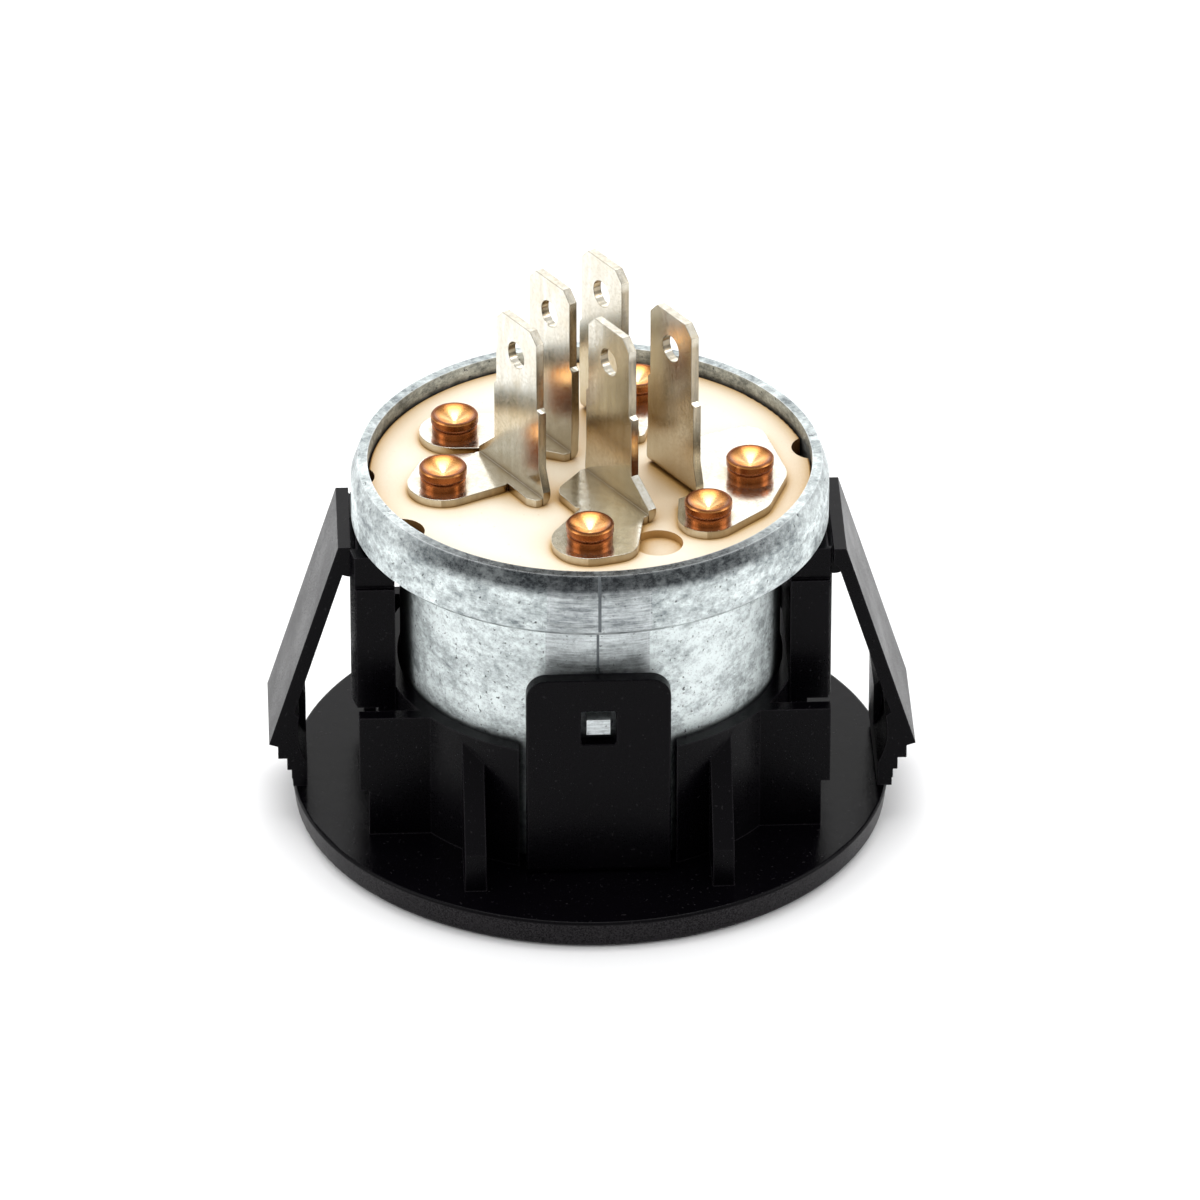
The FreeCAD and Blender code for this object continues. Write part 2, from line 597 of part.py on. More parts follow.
def make_lock_plug():
    clip_groove = CLIP_LOW - 0.05
    outline = [
        (0.0, PLUG_FACE), (PLUG_FLANGE_RADIUS, PLUG_FACE), (PLUG_FLANGE_RADIUS, 2.0),
        (PLUG_RADIUS, 2.0), (PLUG_RADIUS, SEAL_Z - 0.55), (PLUG_RADIUS - 1.05, SEAL_Z - 0.55),
        (PLUG_RADIUS - 1.05, SEAL_Z + 0.55), (PLUG_RADIUS, SEAL_Z + 0.55),
        (PLUG_RADIUS, clip_groove), (5.8, clip_groove), (5.8, clip_groove + 0.8),
        (PLUG_RADIUS, clip_groove + 0.8), (PLUG_RADIUS, PLUG_TAIL), (0.0, PLUG_TAIL),
    ]
    half_length = TANG_LENGTH / 2
    half_width = TANG_WIDTH / 2
    tang = block((-half_length, half_length), (-half_width, half_width), (PLUG_TAIL - 1, TANG_TOP))
    plug = merge([lathe(outline), tang])
    half_key = KEYWAY_LENGTH / 2
    keyway = block((-half_key, half_key), (-KEYWAY_WIDTH / 2, KEYWAY_WIDTH / 2), (0.0, KEYWAY_END))
    pocket = block((-4.7, 4.7), (-1.7, 2.95), (0.0, 5.3))
    plug = plug.cut(keyway).cut(pocket)
    pin_start = Vector(-5.2, SHUTTER_PIN_Y, SHUTTER_PIN_Z)
    plug = plug.cut(Part.makeCylinder(SHUTTER_PIN_RADIUS, 10.4, pin_start, Vector(1, 0, 0)))
    half_slot = WAFER_HALF_WIDTH + WAFER_GAP
    for index in range(WAFER_COUNT):
        low = wafer_low(index)
        high = low + WAFER_THICKNESS + 2 * WAFER_GAP
        slot = block((-8.0, 5.1), (-half_slot, half_slot), (low, high))
        middle = low + WAFER_GAP + WAFER_THICKNESS / 2
        well_start = Vector(WAFER_NOTCH_X, WAFER_SPRING_Y, middle)
        well = Part.makeCylinder(0.8, 5.1 - WAFER_NOTCH_X, well_start, Vector(1, 0, 0))
        plug = plug.cut(slot).cut(well)
    return plug


def make_wafer(index):
    low = wafer_low(index) + WAFER_GAP
    high = low + WAFER_THICKNESS
    wafer = block((WAFER_LOW_X, WAFER_HIGH_X), (-WAFER_HALF_WIDTH, WAFER_HALF_WIDTH), (low, high))
    window = block((-3.3, 3.3), (-1.15, 1.15), (low - 1, high + 1))
    notch = block((WAFER_NOTCH_X, 6.0), (WAFER_NOTCH_Y, 6.0), (low - 1, high + 1))
    return wafer.cut(window).cut(notch)


def make_wafer_spring(index):
    middle = wafer_low(index) + WAFER_GAP + WAFER_THICKNESS / 2
    start = Vector(WAFER_NOTCH_X + 0.2, WAFER_SPRING_Y, middle)
    return coil(0.55, 0.13, start, Vector(1, 0, 0), 3.4, 6)


def make_face_cap():
    cap = cylinder(CAP_RADIUS, CAP_FACE, PLUG_FACE)
    cap = round_circle(cap, 0.2, CAP_RADIUS, CAP_FACE)
    return cap.cut(block((-4.3, 4.3), (-1.15, 1.15), (0.0, 2.0)))


def make_shutter():
    flap = block((-4.4, 4.4), (-1.4, SHUTTER_PIN_Y - 0.2), (1.0, 1.45))
    knuckle_start = Vector(-3.0, SHUTTER_PIN_Y, SHUTTER_PIN_Z)
    knuckle = Part.makeCylinder(0.75, 6.0, knuckle_start, Vector(1, 0, 0))
    bore_start = Vector(-6.0, SHUTTER_PIN_Y, SHUTTER_PIN_Z)
    bore = Part.makeCylinder(SHUTTER_PIN_RADIUS + 0.04, 12.0, bore_start, Vector(1, 0, 0))
    side_relief = [block((low, low + 1.5), (1.15, 3.0), (0.9, 3.0)) for low in (-4.5, 3.0)]
    shutter = merge([flap, knuckle]).cut(bore)
    for relief in side_relief:
        shutter = shutter.cut(relief)
    return shutter


def make_plug_clip():
    clip = ring(CLIP_RADIUS, 5.85, CLIP_LOW, CLIP_LOW + CLIP_THICKNESS)
    return clip.cut(block((0.0, 10.0), (-3.4, 3.4), (CLIP_LOW - 1, CLIP_LOW + 2)))


# Contact chamber -----------------------------------------------------------------------------

def make_contact_rotor():
    rotor = cylinder(ROTOR_RADIUS, ROTOR_LOW, ROTOR_TOP)
    half_length = TANG_LENGTH / 2 + 0.05
    half_width = TANG_WIDTH / 2 + 0.05
    slot_heights = (ROTOR_LOW - 1, TANG_TOP + 0.1)
    drive_slot = block((-half_length, half_length), (-half_width, half_width), slot_heights)
    rotor = rotor.cut(drive_slot).cut(cylinder(SPRING_WELL_RADIUS, SPRING_WELL_FLOOR, ROTOR_TOP + 1))
    for angle in BALL_ANGLES:
        x, y = polar(8.6, angle)
        bore = Part.makeCylinder(BALL_RADIUS + 0.05, 8.0, Vector(x, y, BALL_Z), Vector(x, y, 0))
        rotor = rotor.cut(bore)
    posts = []
    for angle in DRIVE_POST_ANGLES:
        x, y = polar(POST_CIRCLE, angle)
        posts.append(cylinder(DRIVE_POST_RADIUS, ROTOR_TOP - 1, DRIVE_POST_TOP, x, y))
    return merge([rotor] + posts)


def make_contact_bridge():
    top = BRIDGE_LOW + BRIDGE_THICKNESS
    pieces = [cylinder(BRIDGE_HUB_RADIUS, BRIDGE_LOW, top)]
    for angle in BRIDGE_ARM_ANGLES:
        arm = block((0.0, CONTACT_CIRCLE), (-1.3, 1.3), (BRIDGE_LOW, top))
        pieces.append(turned(arm, angle))
        x, y = polar(CONTACT_CIRCLE, angle)
        pieces.append(cylinder(1.3, BRIDGE_LOW, top, x, y))
        pieces.append(Part.makeCone(1.0, 0.5, 0.2, Vector(x, y, top)))
    bridge = merge(pieces).cut(cylinder(3.6, BRIDGE_LOW - 1, top + 1))
    for angle in DRIVE_POST_ANGLES:
        x, y = polar(POST_CIRCLE, angle)
        bridge = bridge.cut(cylinder(DRIVE_POST_RADIUS + 0.15, BRIDGE_LOW - 1, top + 1, x, y))
    return bridge


def make_contact_spring():
    start = Vector(0, 0, SPRING_WELL_FLOOR + 0.45)
    return coil(4.9, 0.4, start, Vector(0, 0, 1), 2.7, 2)


def make_return_spring():
    return coil(RETURN_SPRING_RADIUS, 0.6, Vector(0, 0, 11.6), Vector(0, 0, 1), 7.2, 5)


def make_detent_ball(angle):
    x, y = polar(BALL_CIRCLE, angle)
    return Part.makeSphere(BALL_RADIUS, Vector(x, y, BALL_Z))


def make_detent_spring(angle):
    x, y = polar(8.95, angle)
    return coil(1.1, 0.22, Vector(x, y, BALL_Z), Vector(x, y, 0), 2.8, 4)


# Write every sub-part ------------------------------------------------------------------------

save(make_bezel(), "bezel_body")
save(make_snap_arm(ARM_SPAN_RIGHT), "right_snap_arm")
save(mirrored(make_snap_arm(ARM_SPAN_LEFT), Vector(1, 0, 0)), "left_snap_arm")
save(make_latch_tab(), "front_latch_tab")
save(mirrored(make_latch_tab(), Vector(0, 1, 0)), "rear_latch_tab")
save(make_housing(), "switch_housing")

all_places = []
for name, spec in TERMINALS.items():
    places = [polar(distance, angle) for angle, distance, lobe in spec["rivets"]]
    save(make_terminal(spec, places), name)
    all_places += places
save(make_terminal_plate(all_places), "terminal_plate")
for number, (x, y) in enumerate(all_places, start=1):
    save(make_rivet(x, y), "terminal_rivet_%d" % number)

save(make_lock_plug(), "lock_plug")
save(make_face_cap(), "face_cap")
save(make_shutter(), "key_shutter")
pin_start = Vector(-5.2, SHUTTER_PIN_Y, SHUTTER_PIN_Z)
save(Part.makeCylinder(SHUTTER_PIN_RADIUS, 10.4, pin_start, Vector(1, 0, 0)), "shutter_pin")
spring_start = Vector(3.25, SHUTTER_PIN_Y, SHUTTER_PIN_Z)
save(coil(0.6, 0.12, spring_start, Vector(1, 0, 0), 1.1, 4), "shutter_spring")
seal = Part.makeTorus(PLUG_RADIUS - SEAL_WIRE_RADIUS - 0.02, SEAL_WIRE_RADIUS, Vector(0, 0, SEAL_Z))
save(seal, "plug_seal")
save(make_plug_clip(), "plug_clip")
for index in range(WAFER_COUNT):
    save(make_wafer(index), "wafer_%d" % (index + 1))
    save(make_wafer_spring(index), "wafer_spring_%d" % (index + 1))

save(make_contact_rotor(), "contact_rotor")
save(make_contact_bridge(), "contact_bridge")
save(make_contact_spring(), "contact_spring")
save(make_return_spring(), "return_spring")
for number, angle in enumerate(BALL_ANGLES, start=1):
    save(make_detent_ball(angle), "detent_ball_%d" % number)
    save(make_detent_spring(angle), "detent_spring_%d" % number)
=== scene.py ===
import json
import math

import bmesh
import bpy
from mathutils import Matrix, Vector


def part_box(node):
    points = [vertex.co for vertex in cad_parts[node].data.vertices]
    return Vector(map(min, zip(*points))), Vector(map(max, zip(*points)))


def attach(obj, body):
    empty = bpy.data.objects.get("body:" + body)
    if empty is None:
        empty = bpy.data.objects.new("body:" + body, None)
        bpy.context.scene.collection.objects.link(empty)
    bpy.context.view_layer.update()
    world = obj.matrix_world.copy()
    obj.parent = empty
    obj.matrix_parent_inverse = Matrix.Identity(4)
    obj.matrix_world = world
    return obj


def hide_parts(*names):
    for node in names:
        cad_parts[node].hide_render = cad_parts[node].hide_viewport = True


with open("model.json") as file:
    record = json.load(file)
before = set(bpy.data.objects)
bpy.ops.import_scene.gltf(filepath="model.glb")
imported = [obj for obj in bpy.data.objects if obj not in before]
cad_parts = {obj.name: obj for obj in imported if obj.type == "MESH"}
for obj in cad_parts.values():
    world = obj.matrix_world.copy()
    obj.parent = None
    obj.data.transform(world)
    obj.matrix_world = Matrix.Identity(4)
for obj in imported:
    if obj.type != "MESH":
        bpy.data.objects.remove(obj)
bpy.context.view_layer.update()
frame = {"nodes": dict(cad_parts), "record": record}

# The rear of a snap-in key switch on a white table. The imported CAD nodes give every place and
# size; most visible nodes are replaced by copies of their own meshes with rounded edges.
# Sizes are in metres unless their names say otherwise.

MM = 0.001

# Camera, at the view of a long lens from the front and above
CAMERA_TARGET = Vector((0.9, -0.04, 19.88)) * MM
CAMERA_AZIMUTH = math.radians(-2.4)
CAMERA_ELEVATION = math.radians(31.0)
CAMERA_DISTANCE = 0.9765
CAMERA_LENS_MM = 326.96
CAMERA_SENSOR_MM = 36.0

# Blades: the direction that their width runs in, and where the bare cut tips begin
BLADE_DIRECTION = math.radians(-58.0)
BLADE_NORMAL = (math.sin(BLADE_DIRECTION), -math.cos(BLADE_DIRECTION), 0.0)
CUT_TIP_LOW = 48.5 * MM

# Rivet heads, casting and face, as in the CAD. The band's straight side starts above its chamfer.
CONE_LOW = 34.85 * MM
CONE_RIM = 35.7 * MM
BAND_LOW = 29.3 * MM
BAND_HIGH = 33.0 * MM
BARREL_RADIUS = 17.05 * MM
FACE_FLOOR = 0.5 * MM

# Where the finishes and the painted light and shade change: two numbers are where a change
# starts and ends. All other bare numbers in a material are amounts of that finish alone.
FLANGE_RIM_TOP = 2.5 * MM
RUBBED_HALF_WIDTH = 4.6 * MM
BARREL_LIGHT_FADE = (29.0 * MM, 28.6 * MM)
LIP_FADE = (32.7 * MM, 33.5 * MM)
FRONT_FADE = (-11.0 * MM, -17.0 * MM)
BLADE_SIDE_FADE = (48.0 * MM, 48.6 * MM)

# Trimmed pads, gate boss and parting seams on the casting, and the marks in the face's dish
PAD_STEPS = 12
PAD_SINK = 0.2 * MM
PAD_HALF_WIDTH = 4.5 * MM
PAD_PROUD = 0.05 * MM
BARREL_PAD_DROP = (6.2 * MM, 0.6 * MM)
BOSS_SPAN = (5.0 * MM, 0.35 * MM)
BOSS_RISE = (0.05 * MM, 0.95 * MM)
BOSS_PROUD = 0.22 * MM
SEAM_PROUD = 0.03 * MM
BAND_SEAM_HALF_WIDTH = 0.14 * MM
BARREL_SEAM_HALF_WIDTH = 0.12 * MM
BARREL_SEAM_DROP = (0.7 * MM, 11.0 * MM)
LIP_SEAM_INSET = 0.58 * MM
BAND_SEAM_RISE = 0.1 * MM
TICK_PROUD = 0.25 * MM
TICK_RADII = (11.6 * MM, 14.1 * MM)
TICK_HALF_WIDTH = 0.45 * MM
TICK_TOP_SHARE = 0.7
KEY_POSITIONS_DEGREES = (0.0, 40.0, 80.0)

# Light tent: how bright it is low down and overhead, the dark opening low in front, and how
# much brighter the panel behind is
HORIZON_LEVEL = 0.90
ZENITH_LEVEL = 0.80
FRONT_DARK_TOP = 0.50
FRONT_DARK_LEVEL = 0.02
BACK_PANEL_LEVEL = 2.2

# Where these lie, as parts of a direction: the opening towards the front, and the panel
# towards the back and below the zenith
OPENING_FRONT = (-0.25, -0.85)
PANEL_BACK = (0.55, 0.75)
PANEL_HEIGHT = (0.70, 0.60)

# Softboxes: name, place, width and power in watts, all aimed at the middle of the switch
SOFTBOXES = [
    ("top_softbox", (0.0, 0.12, 0.7), 0.5, 2.8),
    ("left_softbox", (-0.6, -0.15, 0.4), 0.4, 1.1),
    ("right_softbox", (0.65, -0.1, 0.4), 0.4, 1.1),
]
SOFTBOX_TARGET = Vector((0.0, 0.0, 0.02))
FLOOR_HALF = 1.6

# Edge rounding, as a bevel's width for each kind of piece
MOULDED_EDGE = 0.14 * MM
CAST_EDGE = 0.16 * MM
BLADE_EDGE = 0.07 * MM
SMALL_EDGE = 0.05 * MM
ROUNDING_STEPS = 2
ROUNDED_FROM = math.radians(38.0)
SHARP_FROM = math.radians(35.0)
FLAT_WITHIN = math.radians(0.5)
WELD_DISTANCE = 2e-6


# Node helpers --------------------------------------------------------------------------------

class Material:
    """A node material around one Principled shader, with short calls for common nodes."""

    def __init__(self, name):
        self.material = bpy.data.materials.new(name)
        self.material.use_nodes = True
        self.tree = self.material.node_tree
        self.shader = self.tree.nodes["Principled BSDF"]
        self.place = self.add("ShaderNodeTexCoord").outputs["Object"]

    def add(self, kind, **settings):
        node = self.tree.nodes.new(kind)
        for key, value in settings.items():
            setattr(node, key, value)
        return node

    def feed(self, socket, value):
        """Put a number, a colour or another node's output into a socket."""
        if isinstance(value, bpy.types.NodeSocket):
            self.tree.links.new(value, socket)
        else:
            socket.default_value = value

    def set(self, **sockets):
        """Set the shader's sockets by name, with underscores for spaces."""
        for name, value in sockets.items():
            self.feed(self.shader.inputs[name.replace("_", " ")], value)

    def math(self, operation, first, second=0.0):
        node = self.add("ShaderNodeMath", operation=operation)
        self.feed(node.inputs[0], first)
        self.feed(node.inputs[1], second)
        return node.outputs[0]

    def times(self, first, second):
        return self.math("MULTIPLY", first, second)

    def noise(self, size, detail=4.0, roughness=0.6, stretch=(1.0, 1.0, 1.0), seed=0.0):
        """Noise whose blotches are about size across, drawn out along an axis by stretch."""
        mapping = self.add("ShaderNodeMapping")
        self.feed(mapping.inputs["Vector"], self.place)
        self.feed(mapping.inputs["Scale"], tuple(1.0 / (size * part) for part in stretch))
        self.feed(mapping.inputs["Location"], (seed, seed * 1.7, seed * 0.6))
        node = self.add("ShaderNodeTexNoise")
        self.feed(node.inputs["Vector"], mapping.outputs["Vector"])
        self.feed(node.inputs["Scale"], 1.0)
        self.feed(node.inputs["Detail"], detail)
        self.feed(node.inputs["Roughness"], roughness)
        return node.outputs["Fac"]

    def span(self, value, low, high, to_low=0.0, to_high=1.0):
        """Map a value from one range to another, and stop at its ends."""
        node = self.add("ShaderNodeMapRange")
        self.feed(node.inputs["Value"], value)
        self.feed(node.inputs["From Min"], low)
        self.feed(node.inputs["From Max"], high)
        self.feed(node.inputs["To Min"], to_low)
        self.feed(node.inputs["To Max"], to_high)
        return node.outputs["Result"]

    def mix(self, factor, first, second):
        """The first colour where the factor is 0, and the second where it is 1."""
        node = self.add("ShaderNodeMix", data_type="RGBA")
        self.feed(node.inputs["Factor"], factor)
        self.feed(node.inputs["A"], first)
        self.feed(node.inputs["B"], second)
        return node.outputs["Result"]

    def axis(self, name, vector=None):
        """One coordinate of a vector, or of the place in the switch."""
        node = self.add("ShaderNodeSeparateXYZ")
        self.feed(node.inputs[0], vector or self.place)
        return node.outputs[name]

    def along(self, direction):
        """How far the surface's own normal points along a direction, from 0 to 1."""
        geometry = self.add("ShaderNodeNewGeometry")
        node = self.add("ShaderNodeVectorMath", operation="DOT_PRODUCT")
        self.feed(node.inputs[0], geometry.outputs["Normal"])
        self.feed(node.inputs[1], direction)
        return self.math("ABSOLUTE", node.outputs["Value"])

    def upward(self):
        """1 on a level surface that faces up, 0 on an upright one."""
        geometry = self.add("ShaderNodeNewGeometry")
        return self.axis("Z", geometry.outputs["Normal"])

    def crevice(self, distance):
        """1 in the open and 0 in a crevice."""
        node = self.add("ShaderNodeAmbientOcclusion", samples=8)
        self.feed(node.inputs["Distance"], distance)
        return node.outputs["AO"]

    def edge(self, radius):
        """1 on an outer or inner edge and 0 on a flat."""
        geometry = self.add("ShaderNodeNewGeometry")
        bevel = self.add("ShaderNodeBevel", samples=6)
        self.feed(bevel.inputs["Radius"], radius)
        node = self.add("ShaderNodeVectorMath", operation="DOT_PRODUCT")
        self.feed(node.inputs[0], bevel.outputs["Normal"])
        self.feed(node.inputs[1], geometry.outputs["Normal"])
        return self.span(node.outputs["Value"], 0.995, 0.85)

    def bump(self, *layers):
        """Stack bumps, each a height output and its depth in metres."""
        normal = None
        for height, depth in layers:
            node = self.add("ShaderNodeBump")
            self.feed(node.inputs["Height"], height)
            self.feed(node.inputs["Strength"], 1.0)
            self.feed(node.inputs["Distance"], depth)
            if normal is not None:
                self.feed(node.inputs["Normal"], normal)
            normal = node.outputs["Normal"]
        self.feed(self.shader.inputs["Normal"], normal)


# Materials -----------------------------------------------------------------------------------

def black_nylon():
    """Moulded nylon: nearly black and satin, with painted highlights on its edges and specks of dust."""
    m = Material("black_nylon")
    cloud = m.noise(6.0 * MM, detail=3.0)
    grain = m.noise(0.16 * MM, detail=2.0, roughness=0.7)
    dust = m.span(m.noise(0.35 * MM, detail=1.0, seed=4.0), 0.70, 0.76)
    body = m.mix(cloud, (0.0008, 0.0006, 0.0012, 1.0), (0.0022, 0.0018, 0.0028, 1.0))
    # the flange's rim is a grainier, paler grey
    low = m.math("LESS_THAN", m.axis("Z"), FLANGE_RIM_TOP)
    rim = m.times(low, m.math("LESS_THAN", m.upward(), 0.4))
    body = m.mix(m.times(rim, m.span(grain, 0.35, 0.6)), body, (0.022, 0.020, 0.022, 1.0))
    # painted highlight: the edges are painted paler where they would catch the light
    paler_edges = m.mix(m.times(m.edge(0.22 * MM), 0.45), body, (0.035, 0.031, 0.036, 1.0))
    m.set(Base_Color=m.mix(m.times(dust, 0.25), paler_edges, (0.05, 0.047, 0.05, 1.0)))
    # level surfaces are glossier
    level = m.span(m.upward(), 0.8, 0.95)
    rough = m.math("SUBTRACT", m.span(grain, 0.3, 0.7, 0.22, 0.36), m.times(level, 0.12))
    m.set(Roughness=m.math("ADD", rough, m.span(cloud, 0.35, 0.65, -0.03, 0.05)), IOR=1.16)
    m.bump((grain, 0.010 * MM), (m.noise(1.6 * MM, detail=2.0), 0.012 * MM))
    return m.material


def zinc_casting():
    """Passivated zinc: a blue-grey mottle with pits, rubbed bright on its edges."""
    m = Material("zinc_casting")
    x, y, z = (m.axis(name) for name in "XYZ")
    cloud = m.noise(3.2 * MM, detail=8.0, roughness=0.72, stretch=(1.6, 1.6, 1.0))
    mottle = m.noise(0.60 * MM, detail=7.0, roughness=0.78, stretch=(1.4, 1.4, 1.0), seed=3.0)
    grain = m.noise(0.13 * MM, detail=3.0, roughness=0.8)
    pits = m.span(m.noise(0.42 * MM, detail=2.0, seed=8.0), 0.66, 0.72)
    flecks = m.span(m.noise(0.30 * MM, detail=5.0, roughness=0.8, seed=11.0), 0.53, 0.64)
    blend = m.math("ADD", m.times(cloud, 0.5), m.times(mottle, 0.5))
    # painted light: the barrel below the band is painted paler, where more light falls on it
    barrel = m.span(z, *BARREL_LIGHT_FADE)
    blend = m.math("ADD", blend, m.times(barrel, 0.05))
    colour = m.mix(m.span(blend, 0.40, 0.59), (0.17, 0.20, 0.21, 1.0), (0.86, 0.93, 0.925, 1.0))
    colour = m.mix(m.times(flecks, 0.4), colour, (0.17, 0.19, 0.20, 1.0))
    colour = m.mix(m.times(pits, 0.85), colour, (0.03, 0.033, 0.037, 1.0))
    # the trimmed pad each side of the seam, with rubbed streaks round the band
    near = m.math("LESS_THAN", m.math("ABSOLUTE", x), RUBBED_HALF_WIDTH)
    pad = m.times(near, m.math("LESS_THAN", y, 0.0))
    streak = m.noise(0.34 * MM, detail=4.0, roughness=0.7, stretch=(9.0, 9.0, 0.6), seed=5.0)
    rubbed = m.mix(m.span(streak, 0.38, 0.62), (0.16, 0.17, 0.18, 1.0), (0.80, 0.83, 0.85, 1.0))
    colour = m.mix(m.times(pad, 0.45), colour, rubbed)
    # the lip's chamfer is rubbed smoother, and painted darker as painted shade, most of all in front
    lip = m.times(m.span(z, *LIP_FADE), m.span(y, *FRONT_FADE, 0.25, 1.0))
    painted_lip_shade = m.times(lip, m.span(mottle, 0.40, 0.60, 0.97, 0.80))
    colour = m.mix(painted_lip_shade, colour, (0.026, 0.030, 0.034, 1.0))
    colour = m.mix(m.times(m.edge(0.25 * MM), 0.45), colour, (0.80, 0.83, 0.85, 1.0))
    # painted shade darkens the corners and creases, and more where less light reaches between the
    # casting and the bezel
    crease_shade = m.span(m.crevice(0.6 * MM), 0.55, 0.90, 0.7, 0.0)
    colour = m.mix(crease_shade, colour, (0.06, 0.065, 0.07, 1.0))
    shelter = m.span(m.crevice(6.0 * MM), 0.05, 0.55)
    colour = m.mix(shelter, (0.02, 0.022, 0.024, 1.0), colour)
    m.set(Base_Color=colour, Metallic=0.75, Specular_IOR_Level=0.4)
    rough = m.math("ADD", m.span(mottle, 0.35, 0.65, 0.34, 0.58), m.times(grain, 0.1))
    m.set(Roughness=m.math("SUBTRACT", rough, m.times(lip, 0.2)))
    m.bump((grain, 0.018 * MM), (mottle, 0.045 * MM), (pits, -0.04 * MM), (cloud, 0.05 * MM))
    return m.material


def cream_phenolic():
    """Cream insulating board, tan where its surroundings shade it."""
    m = Material("cream_phenolic")
    cloud = m.noise(4.0 * MM, detail=4.0)
    grain = m.noise(0.2 * MM, detail=3.0)
    open_sky = m.crevice(4.0 * MM)
    body = m.mix(cloud, (0.85, 0.78, 0.64, 1.0), (0.90, 0.84, 0.72, 1.0))
    tan = m.mix(m.span(open_sky, 0.50, 0.97), (0.58, 0.34, 0.10, 1.0), body)
    shade = m.mix(m.span(open_sky, 0.10, 0.55), (0.16, 0.06, 0.015, 1.0), tan)
    specks = m.span(m.noise(0.5 * MM, detail=1.0, seed=6.0), 0.72, 0.76)
    m.set(Base_Color=m.mix(m.times(specks, 0.3), shade, (0.55, 0.38, 0.2, 1.0)))
    m.set(Roughness=m.span(grain, 0.3, 0.7, 0.38, 0.52), IOR=1.5)
    m.bump((grain, 0.006 * MM), (cloud, 0.03 * MM))
    return m.material


def plated_brass():
    """Tin-plated strip with faint rolling marks, brass at its cut sides."""
    m = Material("plated_brass")
    z = m.axis("Z")
    flow = m.noise(0.9 * MM, detail=4.0, roughness=0.55, stretch=(0.9, 0.9, 5.0))
    cloud = m.noise(2.4 * MM, detail=4.0, seed=2.0)
    grain = m.noise(0.12 * MM, detail=2.0)
    mottle = m.noise(0.32 * MM, detail=3.0, seed=9.0)
    plate = m.mix(m.span(flow, 0.30, 0.70), (0.70, 0.66, 0.56, 1.0), (0.86, 0.84, 0.76, 1.0))
    plate = m.mix(m.times(m.span(cloud, 0.5, 0.7), 0.4), plate, (0.70, 0.60, 0.42, 1.0))
    plate = m.mix(m.times(m.span(mottle, 0.45, 0.65), 0.35), plate, (0.55, 0.50, 0.39, 1.0))
    # sheared sides and tips show the brass under the plating
    flank = m.math("LESS_THAN", m.along(BLADE_NORMAL), 0.6)
    level = m.math("GREATER_THAN", m.along((0.0, 0.0, 1.0)), 0.6)
    tip = m.math("GREATER_THAN", z, CUT_TIP_LOW)
    plated_level = m.times(level, m.math("SUBTRACT", 1.0, tip))
    cut = m.times(flank, m.math("SUBTRACT", 1.0, plated_level))
    brass = m.mix(m.span(flow, 0.35, 0.65), (0.07, 0.052, 0.03, 1.0), (0.32, 0.25, 0.15, 1.0))
    colour = m.mix(m.times(cut, m.span(z, *BLADE_SIDE_FADE, 0.8, 0.35)), plate, brass)
    # painted shade: darker and warmer where the parts around shade the blades, and dark brown in narrow
    # crevices
    open_sky = m.crevice(1.2 * MM)
    shade = m.span(m.crevice(9.0 * MM), 0.15, 0.75)
    colour = m.mix(shade, (0.40, 0.32, 0.20, 1.0), colour)
    colour = m.mix(m.times(m.edge(0.13 * MM), 0.75), colour, (0.08, 0.06, 0.035, 1.0))
    m.set(Base_Color=m.mix(m.span(open_sky, 0.2, 0.7), (0.22, 0.15, 0.08, 1.0), colour))
    m.set(Metallic=1.0, Roughness=m.span(mottle, 0.3, 0.7, 0.13, 0.25))
    m.bump((flow, 0.0010 * MM), (grain, 0.0010 * MM), (mottle, 0.0015 * MM), (cloud, 0.004 * MM))
    return m.material


def copper_rivet():
    """Copper: dark reddish sides under a bright cone."""
    m = Material("copper_rivet")
    z = m.axis("Z")
    cloud = m.noise(0.8 * MM, detail=4.0)
    grain = m.noise(0.1 * MM, detail=3.0)
    side = m.mix(cloud, (0.13, 0.036, 0.010, 1.0), (0.42, 0.13, 0.036, 1.0))
    # a painted highlight brightens the centre of the cone in the head, and the cone is dark brown at its
    # rim
    bright = m.mix(cloud, (0.92, 0.58, 0.24, 1.0), (0.99, 0.78, 0.44, 1.0))
    copper = m.mix(cloud, (0.72, 0.29, 0.08, 1.0), (0.90, 0.46, 0.15, 1.0))
    cone = m.mix(m.span(z, CONE_LOW + 0.1 * MM, CONE_LOW + 0.6 * MM), bright, copper)
    cone = m.mix(m.span(z, CONE_RIM - 0.3 * MM, CONE_RIM), cone, (0.17, 0.05, 0.014, 1.0))
    high = m.math("GREATER_THAN", z, CONE_LOW - 0.02 * MM)
    in_cone = m.times(m.span(m.upward(), 0.25, 0.6), high)
    m.set(Base_Color=m.mix(in_cone, side, cone), Metallic=1.0)
    m.set(Roughness=m.span(grain, 0.3, 0.7, 0.2, 0.36))
    m.bump((grain, 0.006 * MM), (cloud, 0.012 * MM))
    return m.material


def plain_metal(name, dark, light, rough, drawn=(1.0, 1.0, 4.0)):
    """A worked metal with drawn-out streaks, brighter at its edges."""
    m = Material(name)
    streak = m.noise(0.5 * MM, detail=4.0, stretch=drawn)
    grain = m.noise(0.1 * MM, detail=2.0)
    colour = m.mix(m.span(streak, 0.35, 0.65), dark + (1.0,), light + (1.0,))
    paler_edges = tuple(min(1.0, part * 1.15) for part in light) + (1.0,)
    m.set(Base_Color=m.mix(m.times(m.edge(0.15 * MM), 0.6), colour, paler_edges), Metallic=1.0)
    m.set(Roughness=m.span(streak, 0.3, 0.7, rough * 0.75, rough * 1.3))
    m.bump((grain, 0.003 * MM), (streak, 0.006 * MM))
    return m.material


